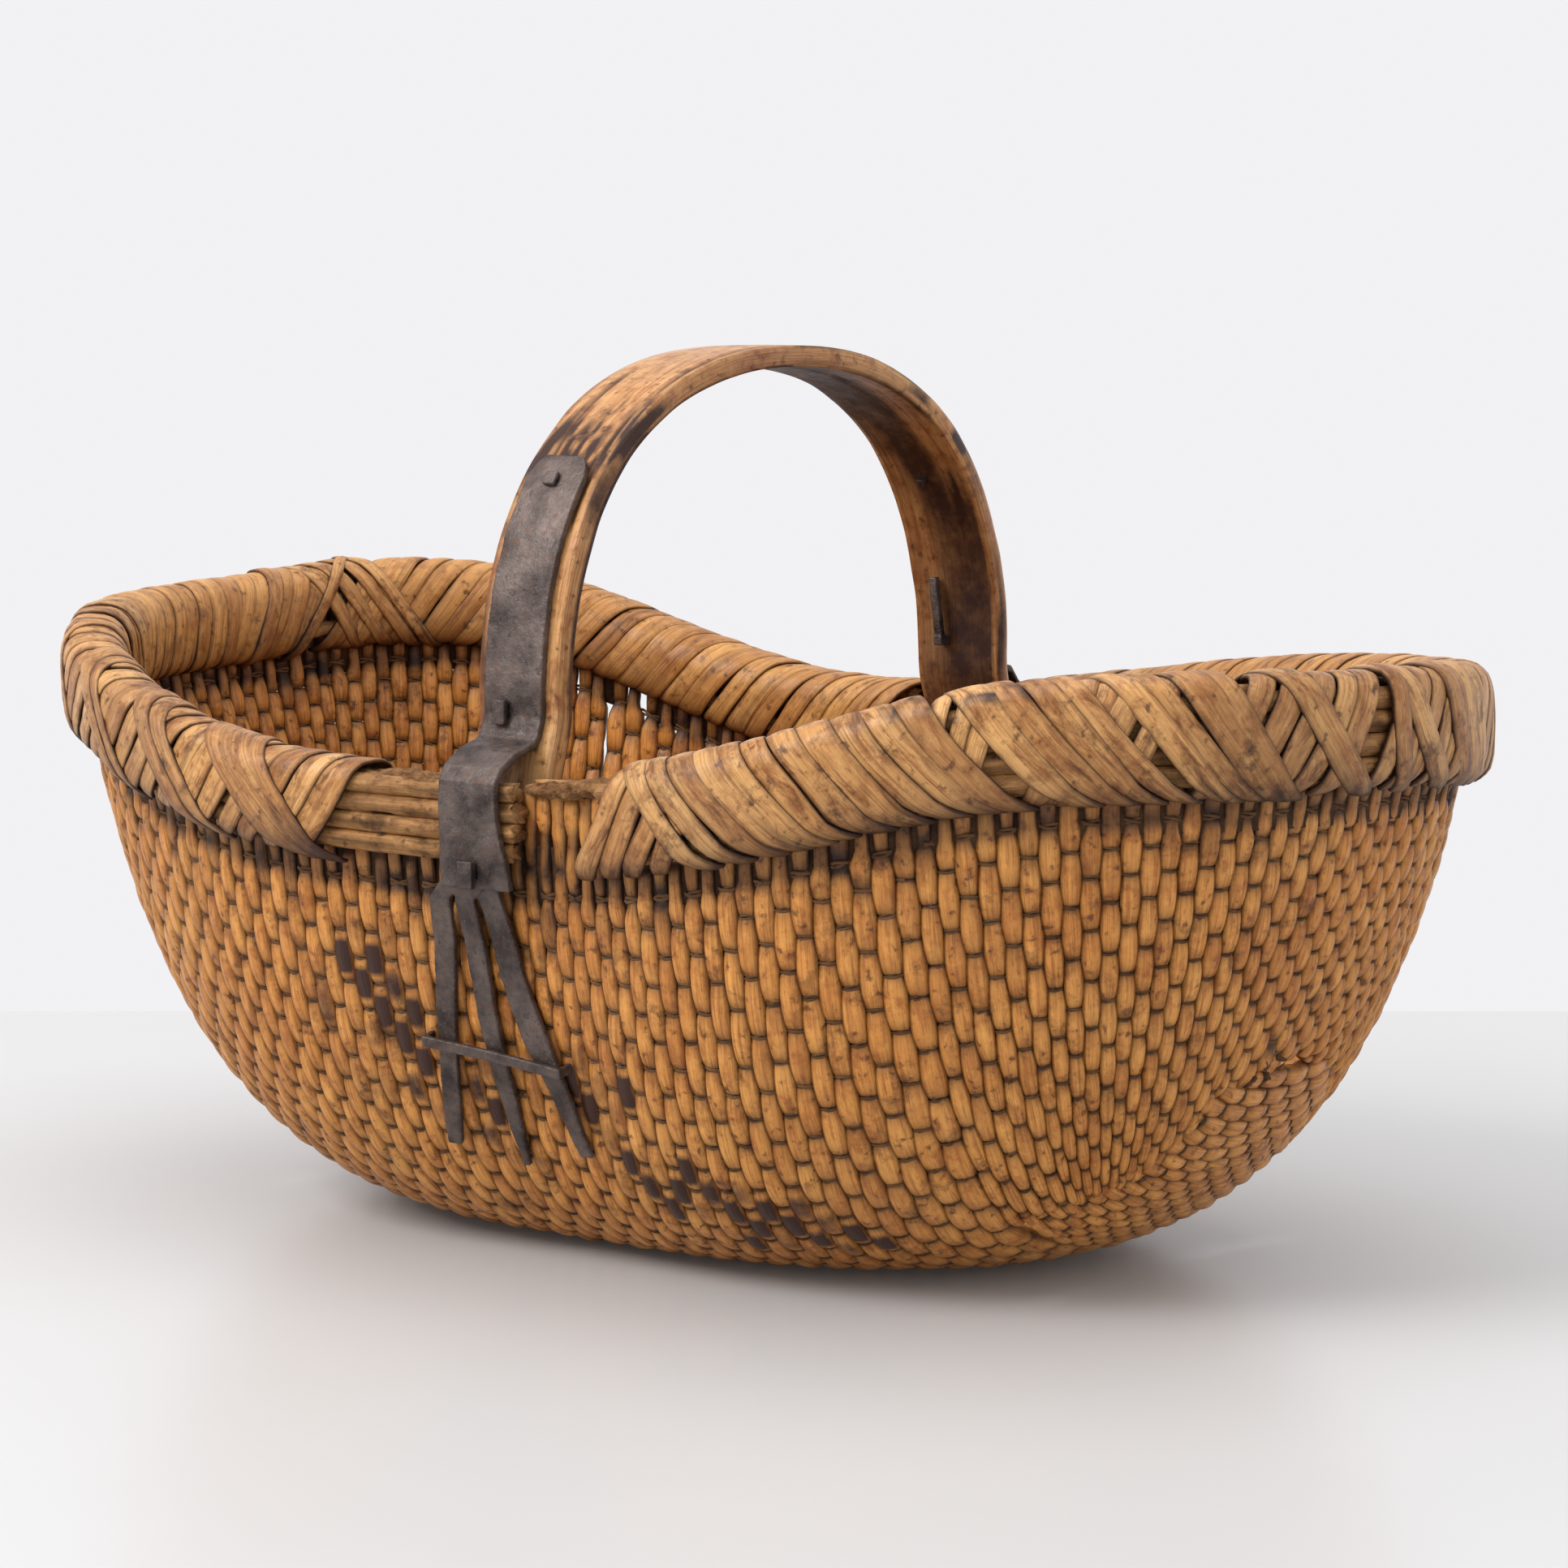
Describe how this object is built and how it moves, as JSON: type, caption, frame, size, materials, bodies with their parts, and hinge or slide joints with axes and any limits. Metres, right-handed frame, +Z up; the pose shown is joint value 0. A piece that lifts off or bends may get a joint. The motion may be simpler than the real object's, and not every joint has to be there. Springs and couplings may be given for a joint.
{
  "type": "winnowing basket",
  "caption": "Oval woven willow winnowing and harvest basket with a wrapped rim and a bent-wood carrying handle nailed on with forged iron straps.",
  "frame": {"origin": "on the surface the basket rests on, under the centre of its overall box", "axes": "+Z up, +X along the long axis of the oval, +Y across it; the handle arches over the basket in the YZ plane"},
  "size_m": [0.603, 0.3553, 0.34],
  "materials": {
    "willow": "peeled willow rods, golden tan with age, satin, dark in the crevices, scorched in places",
    "rim_rod": "round peeled willow rods, dry and dusty",
    "binding": "flat split-willow strips, satin, scuffed and stained along the edges",
    "handle_wood": "steam-bent hardwood polished by hands, dark red-brown inside, charred round the straps",
    "iron": "hand-forged wrought iron, dark oxide skin with fine brown rust"
  },
  "bodies": {
    "root": {"willow_shell": "willow", "rim_rod_outer_1": "rim_rod", "rim_rod_outer_2": "rim_rod", "rim_rod_outer_3": "rim_rod", "rim_rod_outer_4": "rim_rod", "rim_rod_inner_left_a": "rim_rod", "rim_rod_inner_left_b": "rim_rod", "rim_rod_inner_right_a": "rim_rod", "rim_rod_inner_right_b": "rim_rod", "rim_rod_top_left": "rim_rod", "rim_rod_top_right": "rim_rod", "rim_rod_fragment": "rim_rod", "rim_binding_left": "binding", "rim_binding_right": "binding", "handle_bow": "handle_wood", "iron_strap_near": "iron", "iron_strap_far": "iron", "strap_staple_near": "iron", "strap_staple_far": "iron", "nail_top_near": "iron", "nail_top_far": "iron", "nail_mid_near": "iron", "nail_mid_far": "iron", "nail_rim_near": "iron", "nail_rim_far": "iron"}
  },
  "joints": []
}
